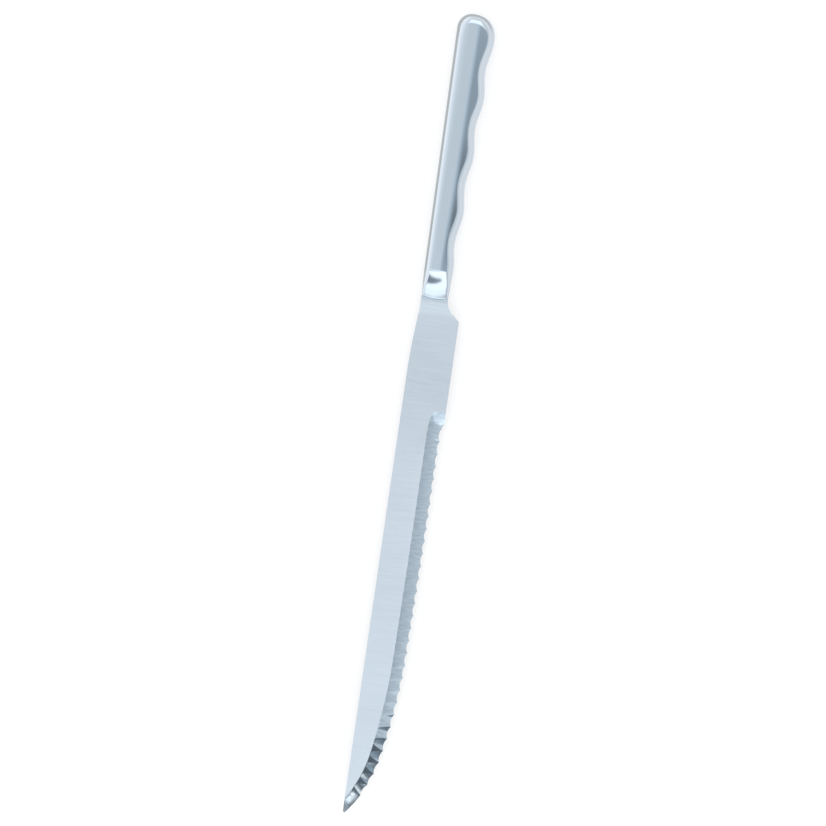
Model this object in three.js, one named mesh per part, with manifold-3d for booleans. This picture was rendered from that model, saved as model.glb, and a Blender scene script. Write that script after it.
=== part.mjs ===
// Serving knife with a serrated slicing blade and a hollow pressed-steel handle.
// Two lobed half shells are brazed together along a flat seam. The blade's tang passes
// through the mouth of the shells and is bedded in cement inside the front of the handle.
// Millimetres, +Z up. The knife lies on its side: +X runs to the tip, +Y to the cutting edge.

import * as THREE from 'three';
import { mergeVertices } from 'three/addons/utils/BufferGeometryUtils.js';
import Module from 'manifold-3d';

const wasm = await Module();
wasm.setup();
const { lerp, clamp } = THREE.MathUtils;

// Handle, measured from the tang's axis in plan and from the seam in height
const HANDLE_LENGTH = 125;
const NECK_LENGTH = 11;
const LAST_CREST_TO_NECK = 1;
const FINGER_GROOVES = 4;
const GROOVE_DEPTH = 1.5;
const BUTT_ROUND = 11.4;
const BUTT_BACK_ROUND = 6.4;
const BUTT_SQUARENESS = 2.4;
const BACK_AT_BUTT = 7.45;
const BACK_AT_NECK = 6.4;
const CREST_AT_BUTT = 10.1;
const CREST_AT_NECK = 6.4;
const HALF_HEIGHT_AT_BUTT = 6;
const HALF_HEIGHT_AT_NECK = 4.8;
const NECK_SWOOP = 1.7;
const CROWN_RADIUS = 20;
const CROWN_BACK_AT_BUTT = 0.25;
const CROWN_BACK_AT_NECK = 1.15;
const BUTT_EDGE_ROUND = 4.4;
const BACK_EDGE_ROUND = 2.9;
const FINGER_EDGE_ROUND = 4;

// Shell wall, seam and mouth
const WALL = 0.8;
const SEAM_THICKNESS = 0.2;
const MOUTH_WIDTH = 11.75;
const MOUTH_CORNER = 0.4;
const TANG_GAP = 0.2;
const TANG_SIDE_GAP = 0.8;
const LIP_BOW = 1.1;

// Solder that closes the mouth on each face of the blade
const SOLDER_WIDTH = 0.8;
const SOLDER_HEIGHT = 0.5;
const FIT_GAP = 0.3;

// Tang and the cement round it
const TANG_LENGTH = 52;
const NOTCH_RADIUS = 1.6;
const NOTCH_FROM_END = 9;
const NOTCH_SPACING = 12;
const NOTCH_PAIRS = 3;
const CEMENT_PAST_TANG = 8;
const CEMENT_FROM_MOUTH = 7;

// Blade
const BLADE_LENGTH = 230;
const STOCK_THICKNESS = 2.2;
const BLADE_THICKNESS = 1.8;
const ROOT_FLAT = 2.6;
const ROOT_RAMP = 5.5;
const SPINE_OFFSET = 7.42;
const SPINE_FLARE_RADIUS = 300;
const HEEL_OFFSET = 12.08;
const SHOULDER_RADIUS = 8;
const SHOULDER_ANGLE = THREE.MathUtils.degToRad(50);
const SHOULDER_FROM_MOUTH = 0.8;

// Ground edge: a straight run, then three arcs that sweep up to the tip
const GRIND_FROM_MOUTH = 49.5;
const EDGE_STEP = 0.78;
const BELLY_FROM_TIP = 140;
const BELLY_RADIUS = 3500;
const SWEEP_FROM_TIP = 71;
const SWEEP_RADIUS = 256;
const POINT_FROM_TIP = 26;
const TIP_ROUND = 1.2;
const BEVEL_WIDTH_AT_HEEL = 6.15;
const BEVEL_WIDTH_AT_TIP = 4.4;
const BEVEL_TAPER_POWER = 3;
const PLUNGE_RUN = 8.5;
const GRIND_RUN = 13;
const GRIND_SQUARENESS = 3.5;

// Serration flutes across the bevel
const FLUTE_PITCH = 5.53;
const FLUTE_BITE = 0.82;
const FLUTE_DEPTH_AT_GRIND_LINE = 0.03;
const FLUTES_FROM_GRIND = 7.9;
const PLAIN_TIP = 8;

// Facets
const BUTT_STEPS = 9;
const GROOVE_STEPS = 10;
const NECK_STEPS = 6;
const ROUND_STEPS = 5;
const CROWN_STEPS = 4;
const LIP_STEPS = 12;
const BEVEL_STEPS = 44;
const PLUNGE_STEPS = 12;
const ARC_POINTS = 12;
const FLUTE_SIDES = 160;

// Sizes that follow from the ones above
const gripLength = HANDLE_LENGTH - NECK_LENGTH;
const lastCrest = gripLength - LAST_CREST_TO_NECK;
const groovePitch = (lastCrest - BUTT_ROUND) / FINGER_GROOVES;
const buttPole = BUTT_BACK_ROUND - BACK_AT_BUTT;
const mouthHalfHeight = STOCK_THICKNESS / 2 + TANG_GAP + WALL;
const mouthRound = WALL + MOUTH_CORNER;
const edgeOffset = HEEL_OFFSET - EDGE_STEP;
const bladeWidth = SPINE_OFFSET + HEEL_OFFSET;
const beyond = 2 * bladeWidth;
const noseCentre = new THREE.Vector2(BLADE_LENGTH - TIP_ROUND, TIP_ROUND - SPINE_OFFSET);

// Solids and geometry

function toSolid(geometry) {
  const bare = geometry.clone();
  bare.deleteAttribute('normal');
  bare.deleteAttribute('uv');
  const merged = mergeVertices(bare, 1e-4);
  const corners = merged.index.array;
  const kept = [];
  for (let i = 0; i < corners.length; i += 3) {
    const [a, b, c] = corners.slice(i, i + 3);
    if (a !== b && b !== c && c !== a) kept.push(a, b, c);
  }
  const vertProperties = new Float32Array(merged.attributes.position.array);
  return new wasm.Manifold(new wasm.Mesh({ numProp: 3, vertProperties, triVerts: new Uint32Array(kept) }));
}

function toGeometry(solid) {
  const { vertProperties, triVerts } = solid.getMesh();
  const geometry = new THREE.BufferGeometry();
  geometry.setAttribute('position', new THREE.BufferAttribute(vertProperties, 3));
  geometry.setIndex(new THREE.BufferAttribute(triVerts, 1));
  geometry.computeVertexNormals();
  return geometry;
}

function signedVolume(points, corners) {
  let volume = 0;
  for (let i = 0; i < corners.length; i += 3) {
    const [a, b, c] = corners.slice(i, i + 3).map((corner) => points[corner]);
    volume += a.dot(b.clone().cross(c)) / 6;
  }
  return volume;
}

// Skins a row of closed sections that all have the same number of points, and caps the ends.
function loft(sections, { capStart = true } = {}) {
  const count = sections[0].length;
  const points = sections.flat();
  const corners = [];
  for (let row = 0; row + 1 < sections.length; row++) {
    for (let i = 0; i < count; i++) {
      const next = (i + 1) % count;
      const a = row * count + i;
      const b = row * count + next;
      corners.push(a, b, b + count, a, b + count, a + count);
    }
  }
  const last = points.length - count;
  for (let i = 1; i + 1 < count; i++) {
    if (capStart) corners.push(0, i + 1, i);
    corners.push(last, last + i, last + i + 1);
  }
  if (signedVolume(points, corners) < 0) corners.reverse();
  const geometry = new THREE.BufferGeometry().setFromPoints(points);
  geometry.setIndex(corners);
  return toSolid(geometry);
}

// A plate of a plan shape between two heights.
function plate(shape, low, high) {
  const geometry = new THREE.ExtrudeGeometry(shape, {
    depth: high - low,
    bevelEnabled: false,
    curveSegments: ARC_POINTS,
  });
  return toSolid(geometry.translate(0, 0, low));
}

function box(low, high) {
  const size = new THREE.Vector3().subVectors(high, low);
  const centre = new THREE.Vector3().addVectors(low, high).multiplyScalar(0.5);
  return toSolid(new THREE.BoxGeometry(size.x, size.y, size.z).translate(centre.x, centre.y, centre.z));
}

// Handle form: distances along the handle are counted from the butt

function gripShare(along) {
  return clamp(along / gripLength, 0, 1);
}

function neckShare(along) {
  return clamp((along - gripLength) / NECK_LENGTH, 0, 1);
}

// How far a rounded end has opened out at a distance from its pole, from 0 to 1.
function roundedEnd(along, length, squareness) {
  const left = Math.max(0, 1 - along / length);
  return (1 - left ** squareness) ** (1 / squareness);
}

function sideLine(along, atButt, atNeck) {
  return lerp(lerp(atButt, atNeck, gripShare(along)), MOUTH_WIDTH / 2, neckShare(along));
}

function backY(along) {
  const line = -sideLine(along, BACK_AT_BUTT, BACK_AT_NECK);
  return lerp(buttPole, line, roundedEnd(along, BUTT_BACK_ROUND, 2));
}

function fingerY(along) {
  const crest = sideLine(along, CREST_AT_BUTT, CREST_AT_NECK);
  const outline = lerp(buttPole, crest, roundedEnd(along, BUTT_ROUND, BUTT_SQUARENESS));
  if (along < BUTT_ROUND || along > lastCrest) return outline;
  const turn = (2 * Math.PI * (along - BUTT_ROUND)) / groovePitch;
  return outline - (GROOVE_DEPTH / 2) * (1 - Math.cos(turn));
}

function halfHeight(along, y) {
  const grip = lerp(HALF_HEIGHT_AT_BUTT, HALF_HEIGHT_AT_NECK, gripShare(along));
  const swoop = (1 - neckShare(along)) ** NECK_SWOOP;
  const crest = lerp(mouthHalfHeight, grip, swoop);
  const fromCrown = y + lerp(CROWN_BACK_AT_BUTT, CROWN_BACK_AT_NECK, gripShare(along));
  return crest - ((1 - neckShare(along)) * fromCrown ** 2) / (2 * CROWN_RADIUS);
}

// Radius of the rounded edge on one side of the handle, as far as the height of that side allows.
function edgeRound(along, y, onGrip) {
  const round = lerp(BUTT_EDGE_ROUND, onGrip, clamp(along / BUTT_ROUND, 0, 1));
  return Math.min(lerp(round, mouthRound, neckShare(along)), halfHeight(along, y) - SEAM_THICKNESS);
}

function handleStations(stepsPerGroove) {
  const stations = [];
  for (let i = 0; i < BUTT_STEPS; i++) {
    stations.push(BUTT_ROUND * (1 - Math.cos((i / BUTT_STEPS) * (Math.PI / 2))));
  }
  const grooveSteps = FINGER_GROOVES * stepsPerGroove;
  for (let i = 0; i < grooveSteps; i++) stations.push(lerp(BUTT_ROUND, lastCrest, i / grooveSteps));
  stations.push(lastCrest);
  for (let i = 0; i <= NECK_STEPS; i++) stations.push(lerp(gripLength, HANDLE_LENGTH, i / NECK_STEPS));
  stations.push(HANDLE_LENGTH + LIP_BOW);
  return stations;
}

// One side of the plan outline as points, each with its direction into the handle.
function outlineSide(stations, yAt, inwardSign) {
  return stations.map((along, i) => {
    const point = new THREE.Vector2(along, yAt(along));
    if (i === 0) return { point, inward: new THREE.Vector2(1, 0) };
    if (along >= HANDLE_LENGTH) return { point, inward: new THREE.Vector2(0, inwardSign) };
    const before = stations[i - 1];
    const after = stations[i + 1];
    const run = new THREE.Vector2(after - before, yAt(after) - yAt(before)).normalize();
    return { point, inward: new THREE.Vector2(-run.y, run.x).multiplyScalar(inwardSign) };
  });
}

// The handle's outer form, or the same form drawn in by an even inset. Each cross rib runs up
// the rounded back, over the crown and down the rounded finger side, and is mirrored below.
function lobedForm({ inset = 0, stepsPerGroove = GROOVE_STEPS, roundSteps = ROUND_STEPS }) {
  const stations = handleStations(stepsPerGroove);
  const back = outlineSide(stations, backY, 1);
  const finger = outlineSide(stations, fingerY, -1);
  const climb = ({ point, inward }, onGrip) => {
    const round = edgeRound(point.x, point.y, onGrip) - inset;
    const points = [];
    for (let step = 0; step <= roundSteps; step++) {
      const angle = ((step / roundSteps) * Math.PI) / 2;
      const at = point.clone().addScaledVector(inward, inset + round * (1 - Math.cos(angle)));
      const height = halfHeight(at.x, at.y) - inset - round * (1 - Math.sin(angle));
      points.push(new THREE.Vector3(at.x - HANDLE_LENGTH, at.y, height));
    }
    return [points[0].clone().setZ(0), ...points];
  };
  const ribs = stations.map((along, i) => {
    const rise = climb(back[i], BACK_EDGE_ROUND);
    const fall = climb(finger[i], FINGER_EDGE_ROUND).reverse();
    const crown = [];
    for (let step = 1; step < CROWN_STEPS; step++) {
      const at = rise.at(-1).clone().lerp(fall[0], step / CROWN_STEPS);
      at.z = halfHeight(at.x + HANDLE_LENGTH, at.y) - inset;
      crown.push(at);
    }
    const upper = [...rise, ...crown, ...fall];
    const lower = upper.slice(1, -1).reverse().map((p) => new THREE.Vector3(p.x, p.y, -p.z));
    return [...upper, ...lower];
  });
  return loft(ribs, { capStart: false });
}

// The mouth ends in a lip that bows forward over the blade's root.
function lipX(y) {
  return LIP_BOW * (1 - ((2 * y) / MOUTH_WIDTH) ** 2);
}

function lipTrim() {
  const side = beyond / 2;
  const shape = new THREE.Shape();
  shape.moveTo(-HANDLE_LENGTH - beyond, -side);
  shape.lineTo(0, -side);
  for (let i = 0; i <= LIP_STEPS; i++) {
    const y = lerp(-MOUTH_WIDTH / 2, MOUTH_WIDTH / 2, i / LIP_STEPS);
    shape.lineTo(lipX(y), y);
  }
  shape.lineTo(0, side);
  shape.lineTo(-HANDLE_LENGTH - beyond, side);
  return plate(shape, -beyond, beyond);
}

function halfSpace(sign) {
  const near = (sign * SEAM_THICKNESS) / 2;
  const far = sign * beyond;
  const low = new THREE.Vector3(-HANDLE_LENGTH - beyond, -beyond, Math.min(near, far));
  const high = new THREE.Vector3(beyond, beyond, Math.max(near, far));
  return box(low, high);
}

function rootRoom() {
  const half = STOCK_THICKNESS / 2 + TANG_GAP;
  return box(new THREE.Vector3(0, -beyond, -half), new THREE.Vector3(beyond, beyond, half));
}

function handleShell(sign) {
  const skin = lobedForm({}).subtract(lobedForm({ inset: WALL, stepsPerGroove: 6, roundSteps: 3 }));
  return skin.intersect(lipTrim()).subtract(rootRoom()).intersect(halfSpace(sign));
}

// A flat band of filler metal between the rims of the two shells, open at the mouth.
function seamBraze() {
  const stations = handleStations(GROOVE_STEPS).filter((along) => along <= HANDLE_LENGTH);
  const back = outlineSide(stations, backY, 1).reverse();
  const finger = outlineSide(stations, fingerY, -1).slice(1);
  const half = SEAM_THICKNESS / 2;
  const sections = [...back, ...finger].map(({ point, inward }) => {
    const corner = (drawnIn, height) => {
      const at = point.clone().addScaledVector(inward, drawnIn);
      return new THREE.Vector3(at.x - HANDLE_LENGTH, at.y, height);
    };
    return [corner(0, -half), corner(0, half), corner(WALL, half), corner(WALL, -half)];
  });
  return loft(sections);
}

// A fillet of solder along the lip, on one face of the blade's root.
function mouthSolder(sign) {
  const seat = (sign * STOCK_THICKNESS) / 2;
  const sections = [];
  for (let i = 1; i < LIP_STEPS; i++) {
    const y = lerp(-tangWidth / 2, tangWidth / 2, i / LIP_STEPS);
    const heel = lipX(y) + FIT_GAP;
    sections.push([
      new THREE.Vector3(heel, y, seat),
      new THREE.Vector3(heel, y, seat + sign * SOLDER_HEIGHT),
      new THREE.Vector3(heel + SOLDER_WIDTH, y, seat),
    ]);
  }
  return loft(sections);
}

// Blade

// The tang clears both the mouth and the finger groove nearest to it.
const mouthRoom = MOUTH_WIDTH / 2 - WALL - MOUTH_CORNER;
const grooveRoom = fingerY(lastCrest - groovePitch / 2) - WALL;
const tangWidth = 2 * (Math.min(mouthRoom, grooveRoom) - TANG_SIDE_GAP);

// The tang in plan, with pairs of round notches that key it in the cement.
function tangShape(grow) {
  const half = tangWidth / 2 + grow;
  const end = -TANG_LENGTH - grow;
  const notches = [];
  for (let i = 0; i < NOTCH_PAIRS; i++) notches.push(-TANG_LENGTH + NOTCH_FROM_END + i * NOTCH_SPACING);
  const shape = new THREE.Shape();
  shape.moveTo(ROOT_FLAT, -half);
  shape.lineTo(ROOT_FLAT, half);
  for (const x of [...notches].reverse()) shape.absarc(x, half, NOTCH_RADIUS - grow, 0, Math.PI, true);
  shape.lineTo(end, half);
  shape.lineTo(end, -half);
  for (const x of notches) shape.absarc(x, -half, NOTCH_RADIUS - grow, Math.PI, 0, true);
  return shape;
}

// The blank in plan: root, flared spine, round nose, and a shoulder that sweeps out to the heel.
function blankShape() {
  const half = MOUTH_WIDTH / 2;
  const flareDrop = SPINE_OFFSET - half;
  const flareAngle = Math.acos(1 - flareDrop / SPINE_FLARE_RADIUS);
  const flareStart = SHOULDER_FROM_MOUTH + ROOT_RAMP;
  const flareEnd = flareStart + SPINE_FLARE_RADIUS * Math.sin(flareAngle);
  const arcTop = half + SHOULDER_RADIUS * (1 - Math.cos(SHOULDER_ANGLE));
  const arcEnd = SHOULDER_FROM_MOUTH + SHOULDER_RADIUS * Math.sin(SHOULDER_ANGLE);
  const heelX = arcEnd + (HEEL_OFFSET - arcTop) / Math.tan(SHOULDER_ANGLE);
  const tipTangent = edge.getTangent(1);
  const noseEnd = Math.atan2(tipTangent.x, -tipTangent.y);
  const shape = new THREE.Shape();
  shape.moveTo(0, half);
  shape.lineTo(0, -half);
  shape.lineTo(flareStart, -half);
  shape.absarc(
    flareEnd,
    SPINE_FLARE_RADIUS - SPINE_OFFSET,
    SPINE_FLARE_RADIUS,
    -Math.PI / 2 - flareAngle,
    -Math.PI / 2,
    false,
  );
  shape.absarc(noseCentre.x, noseCentre.y, TIP_ROUND, -Math.PI / 2, noseEnd, false);
  shape.lineTo(shape.currentPoint.x, HEEL_OFFSET);
  shape.lineTo(heelX, HEEL_OFFSET);
  shape.absarc(
    SHOULDER_FROM_MOUTH,
    half + SHOULDER_RADIUS,
    SHOULDER_RADIUS,
    SHOULDER_ANGLE - Math.PI / 2,
    -Math.PI / 2,
    true,
  );
  return shape;
}

// The blank is full stock at the root and is ground thinner on a ramp, on one side at a time.
function faceGrind(sign) {
  const profile = new THREE.Shape([
    new THREE.Vector2(ROOT_FLAT, STOCK_THICKNESS / 2),
    new THREE.Vector2(ROOT_FLAT + ROOT_RAMP, BLADE_THICKNESS / 2),
    new THREE.Vector2(BLADE_LENGTH + beyond, BLADE_THICKNESS / 2),
    new THREE.Vector2(BLADE_LENGTH + beyond, beyond),
    new THREE.Vector2(ROOT_FLAT, beyond),
  ]);
  const geometry = new THREE.ExtrudeGeometry(profile, { depth: 2 * beyond, bevelEnabled: false });
  geometry.translate(0, 0, -beyond).rotateX((sign * Math.PI) / 2);
  return toSolid(geometry);
}

// The line that the tooth points touch. Its heading turns from along the blade towards the spine.
function edgePath() {
  const path = new THREE.Path();
  let at = new THREE.Vector2(GRIND_FROM_MOUTH, edgeOffset);
  let heading = 0;
  path.moveTo(at.x, at.y);
  const turn = (radius, newHeading) => {
    const centre = new THREE.Vector2(at.x - radius * Math.sin(heading), at.y - radius * Math.cos(heading));
    path.absarc(centre.x, centre.y, radius, Math.PI / 2 - heading, Math.PI / 2 - newHeading, true);
    at = new THREE.Vector2(
      centre.x + radius * Math.sin(newHeading),
      centre.y + radius * Math.cos(newHeading),
    );
    heading = newHeading;
  };
  const turnUntil = (radius, fromTip) => {
    const run = BLADE_LENGTH - fromTip - at.x;
    turn(radius, Math.asin(Math.sin(heading) + run / radius));
  };
  at.x = BLADE_LENGTH - BELLY_FROM_TIP;
  path.lineTo(at.x, at.y);
  turnUntil(BELLY_RADIUS, SWEEP_FROM_TIP);
  turnUntil(SWEEP_RADIUS, POINT_FROM_TIP);
  // The last arc runs smoothly into the nose, so the same arc less the nose's radius ends at its centre.
  const inward = new THREE.Vector2(-Math.sin(heading), -Math.cos(heading));
  const toNose = noseCentre.clone().sub(at).addScaledVector(inward, -TIP_ROUND);
  const half = Math.atan2(-toNose.y, toNose.x) - heading;
  turn(toNose.length() / (2 * Math.sin(half)) + TIP_ROUND, heading + 2 * half);
  return path;
}

const edge = edgePath();
const edgeLength = edge.getLength();

// A place on the edge: its point in plan, the way along it and the way in towards the spine.
function edgeFrame(along) {
  const share = clamp(along / edgeLength, 0, 1);
  const tangent = edge.getTangent(share);
  const point = edge.getPoint(share).addScaledVector(tangent, along - share * edgeLength);
  return { point, tangent, inward: new THREE.Vector2(tangent.y, -tangent.x) };
}

// The bevel's width in plan and the height of its foot, as the grinding wheel plunges in.
function bevelAt(along) {
  const half = BLADE_THICKNESS / 2;
  const taper = clamp(along / edgeLength, 0, 1) ** BEVEL_TAPER_POWER;
  const fullWidth = lerp(BEVEL_WIDTH_AT_HEEL, BEVEL_WIDTH_AT_TIP, taper);
  const width = fullWidth * Math.max(0.05, roundedEnd(along, GRIND_RUN, GRIND_SQUARENESS));
  const plunged = 1 - clamp(1 - along / PLUNGE_RUN, 0, 1) ** 2;
  const foot = half + FIT_GAP - (BLADE_THICKNESS + FIT_GAP) * plunged;
  return { width, foot, slope: (half - foot) / width };
}

// What the wheel takes away above the bevel, from the heel to past the tip.
function bevelGrind() {
  const along = [];
  for (let i = 0; i < PLUNGE_STEPS; i++) along.push((GRIND_RUN * i ** 2) / PLUNGE_STEPS ** 2);
  for (let i = 0; i <= BEVEL_STEPS; i++) along.push(lerp(GRIND_RUN, edgeLength, i / BEVEL_STEPS));
  along.push(edgeLength + bladeWidth);
  const sections = along.map((distance) => {
    const { point, inward } = edgeFrame(distance);
    const { width, foot, slope } = bevelAt(distance);
    const corner = (drawnIn, height) => {
      const at = point.clone().addScaledVector(inward, drawnIn);
      return new THREE.Vector3(at.x, at.y, height);
    };
    const inner = width + BLADE_THICKNESS;
    return [
      corner(-beyond, foot - beyond * slope),
      corner(inner, foot + inner * slope),
      corner(inner, beyond),
      corner(-beyond, beyond),
    ];
  });
  return loft(sections);
}

// One hollow flute: a large cylinder laid down the bevel, deepest at the edge, which it bites into.
function flute(along) {
  const { point, tangent, inward } = edgeFrame(along);
  const { width, foot, slope } = bevelAt(along);
  const depth = FLUTE_BITE * slope;
  const radius = FLUTE_PITCH ** 2 / (8 * depth) + depth / 2;
  const atEdge = new THREE.Vector3(point.x, point.y, foot - depth);
  const grindLine = point.clone().addScaledVector(inward, width);
  const topHeight = BLADE_THICKNESS / 2 - FLUTE_DEPTH_AT_GRIND_LINE;
  const atTop = new THREE.Vector3(grindLine.x, grindLine.y, topHeight);
  const axis = atTop.clone().sub(atEdge).normalize();
  const run = new THREE.Vector3(tangent.x, tangent.y, 0);
  const up = run.clone().cross(axis);
  if (up.z < 0) up.negate();
  const centre = atEdge.lerp(atTop, 0.5).addScaledVector(up, radius);
  const cylinder = new THREE.CylinderGeometry(radius, radius, 4 * BEVEL_WIDTH_AT_HEEL, FLUTE_SIDES);
  const place = new THREE.Matrix4().makeBasis(axis.clone().cross(up), axis, up).setPosition(centre);
  return toSolid(cylinder.applyMatrix4(place));
}

function bladeSolid() {
  const half = STOCK_THICKNESS / 2;
  let solid = plate(blankShape(), -half, half).add(plate(tangShape(0), -half, half));
  solid = solid.subtract(faceGrind(1)).subtract(faceGrind(-1)).subtract(bevelGrind());
  const fluted = edgeLength - FLUTES_FROM_GRIND - PLAIN_TIP;
  const count = Math.floor(fluted / FLUTE_PITCH);
  for (let i = 0; i < count; i++) {
    solid = solid.subtract(flute(FLUTES_FROM_GRIND + (i + 0.5) * FLUTE_PITCH));
  }
  return solid;
}

// Cement fills the front of the handle round the tang.
function tangCement() {
  const room = lobedForm({ inset: WALL + FIT_GAP, stepsPerGroove: 6, roundSteps: 3 });
  const back = -TANG_LENGTH - CEMENT_PAST_TANG;
  const stretch = box(
    new THREE.Vector3(back, -beyond, -beyond),
    new THREE.Vector3(-CEMENT_FROM_MOUTH, beyond, beyond),
  );
  const slot = STOCK_THICKNESS / 2 + FIT_GAP;
  return room.intersect(stretch).subtract(plate(tangShape(FIT_GAP), -slot, slot));
}

// Materials and assembly

const polishedSteel = new THREE.MeshStandardMaterial({ color: 0xcfd8df, roughness: 0.1, metalness: 1 });
const groundSteel = new THREE.MeshStandardMaterial({ color: 0xc3ced8, roughness: 0.3, metalness: 1 });
const fillerMetal = new THREE.MeshStandardMaterial({ color: 0xb4bcc2, roughness: 0.25, metalness: 1 });
const cement = new THREE.MeshStandardMaterial({ color: 0xb9b2a4, roughness: 0.9, metalness: 0 });

const knife = new THREE.Group();
function addPiece(name, solid, material) {
  const mesh = new THREE.Mesh(toGeometry(solid), material);
  mesh.name = name;
  knife.add(mesh);
}

addPiece('blade', bladeSolid(), groundSteel);
addPiece('handle_shell_front', handleShell(1), polishedSteel);
addPiece('handle_shell_back', handleShell(-1), polishedSteel);
addPiece('seam_braze', seamBraze(), fillerMetal);
addPiece('mouth_solder_front', mouthSolder(1), fillerMetal);
addPiece('mouth_solder_back', mouthSolder(-1), fillerMetal);
addPiece('tang_cement', tangCement(), cement);

// The part's origin is under the middle of its length and width, on the surface that it lies on.
const extent = new THREE.Box3().setFromObject(knife);
const middle = extent.getCenter(new THREE.Vector3());
for (const piece of knife.children) piece.position.set(-middle.x, -middle.y, -extent.min.z);

export default knife;
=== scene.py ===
"""Models and finishes a hollow-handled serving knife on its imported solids."""

import math

import bmesh
import bpy
import numpy as np
from bpy.props import FloatProperty, FloatVectorProperty, IntProperty, PointerProperty
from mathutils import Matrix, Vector


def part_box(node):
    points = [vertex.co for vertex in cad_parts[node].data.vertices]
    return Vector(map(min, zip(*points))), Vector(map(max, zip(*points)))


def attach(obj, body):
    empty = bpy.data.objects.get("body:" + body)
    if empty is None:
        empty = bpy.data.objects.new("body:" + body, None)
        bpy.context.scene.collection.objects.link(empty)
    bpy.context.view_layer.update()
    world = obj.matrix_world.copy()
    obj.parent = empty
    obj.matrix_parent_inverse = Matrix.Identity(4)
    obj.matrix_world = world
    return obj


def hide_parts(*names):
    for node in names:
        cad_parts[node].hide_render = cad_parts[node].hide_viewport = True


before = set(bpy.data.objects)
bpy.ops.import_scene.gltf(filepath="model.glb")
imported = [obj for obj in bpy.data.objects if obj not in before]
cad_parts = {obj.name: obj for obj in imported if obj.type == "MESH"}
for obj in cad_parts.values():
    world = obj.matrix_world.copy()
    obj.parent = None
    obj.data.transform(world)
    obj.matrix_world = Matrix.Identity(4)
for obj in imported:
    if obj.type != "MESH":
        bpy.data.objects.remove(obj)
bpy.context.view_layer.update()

bl_info = {
    "name": "Serving knife",
    "version": (1, 0, 0),
    "blender": (4, 5, 0),
    "location": "3D View > Sidebar > Knife",
    "description": "Models and finishes a hollow-handled serving knife on its packed solids",
    "category": "Object",
}

MM = 0.001
# Points that lie nearer than this count as one.
NEAR = 0.002 * MM

blade_low, blade_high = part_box("blade")
seam_low, seam_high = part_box("seam_braze")
seam_middle = (seam_low.z + seam_high.z) / 2
tip_from_mouth = blade_high.x - seam_high.x


def linear(code):
    """The linear colour of an sRGB hex value."""
    channels = (int(code[i : i + 2], 16) / 255 for i in (1, 3, 5))
    return tuple(c / 12.92 if c <= 0.04045 else ((c + 0.055) / 1.055) ** 2.4 for c in channels)


# Sizes and colours


def length(name, description, default):
    """A length that the user may change."""
    return FloatProperty(
        name=name, description=description, default=default, min=0, unit="LENGTH", precision=5
    )


def power(name, description, default):
    """A power that shapes a curve, and that the user may change."""
    return FloatProperty(name=name, description=description, default=default, min=1)


def count(name, description, default):
    """A number of like features that the user may change."""
    return IntProperty(name=name, description=description, default=default, min=1)


def colour(name, description, code):
    """A colour that the user may change, from its sRGB hex value."""
    return FloatVectorProperty(
        name=name, description=description, default=linear(code), size=3, min=0, max=1, subtype="COLOR"
    )


class HandleSizes(bpy.types.PropertyGroup):
    """Sizes of the hollow handle, with distances along it counted from the butt."""

    full_length: length("Handle length", "From the butt to the mouth", seam_high.x - seam_low.x)
    neck_length: length("Neck length", "From the end of the grip to the mouth", 11 * MM)
    last_crest_to_neck: length("Last crest to neck", "From the last finger crest to the neck", 1 * MM)
    grooves: count("Finger grooves", "How many fingers the grip fits", 4)
    groove_depth: length("Groove depth", "How far a finger groove dips under its crests", 1.5 * MM)
    butt_round: length("Butt round", "Run of the rounded butt on the finger side", 11.4 * MM)
    butt_back_round: length("Butt back round", "Run of the rounded butt on the back", 6.4 * MM)
    butt_squareness: power("Butt squareness", "2 is an ellipse and more is squarer", 2.4)
    back_at_butt: length("Back at butt", "From the tang's axis to the back, at the butt", 7.45 * MM)
    back_at_neck: length("Back at neck", "From the tang's axis to the back, at the neck", 6.4 * MM)
    crest_at_butt: length("Crest at butt", "From the tang's axis to the crests, at the butt", 10.1 * MM)
    crest_at_neck: length("Crest at neck", "From the tang's axis to the crests, at the neck", 6.4 * MM)
    half_height_at_butt: length("Half height at butt", "From the seam to the crown, at the butt", 6 * MM)
    half_height_at_neck: length("Half height at neck", "From the seam to the crown, at the neck", 4.8 * MM)
    neck_swoop: power("Neck swoop", "How fast the neck falls away from the grip", 1.7)
    crease_round: length("Crease round", "Softness of the crease between grip and neck", 0.35 * MM)
    crown_radius: length("Crown radius", "Radius of the crowned face across the grip", 20 * MM)
    crown_back_at_butt: length("Crown at butt", "From the tang's axis back to the crown's top", 0.25 * MM)
    crown_back_at_neck: length("Crown at neck", "The same, at the neck", 1.15 * MM)
    buffed_off: length("Buffed off", "What the buffing wheel takes off the crown", 0.015 * MM)
    butt_edge_round: length("Butt edge round", "Radius of the rounded edge at the butt", 4.4 * MM)
    back_edge_round: length("Back edge round", "Radius of the rounded edge along the back", 2.9 * MM)
    finger_edge_round: length("Finger edge round", "Radius of the rounded edge along the fingers", 4 * MM)
    mouth_round: length("Mouth round", "Radius of the rounded edge at the mouth", 1.2 * MM)
    mouth_width: length("Mouth width", "Width of the handle at the mouth", 11.75 * MM)
    mouth_half_height: length("Mouth half height", "From the seam to the lip's top", 2.1 * MM)
    lip_bow: length("Lip bow", "How far the lip bows forward over the root", 1.1 * MM)
    wall: length("Wall", "Thickness of the pressed steel", 0.8 * MM)
    seam: length("Seam", "Thickness of the braze between the rims", seam_high.z - seam_low.z)
    rim_break: length("Rim break", "How far the sharp rims are broken", 0.12 * MM)
    solder_width: length("Solder width", "Reach of the solder fillet along the root", 0.8 * MM)
    solder_height: length("Solder height", "Height of the solder fillet at the lip", 0.5 * MM)


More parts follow.
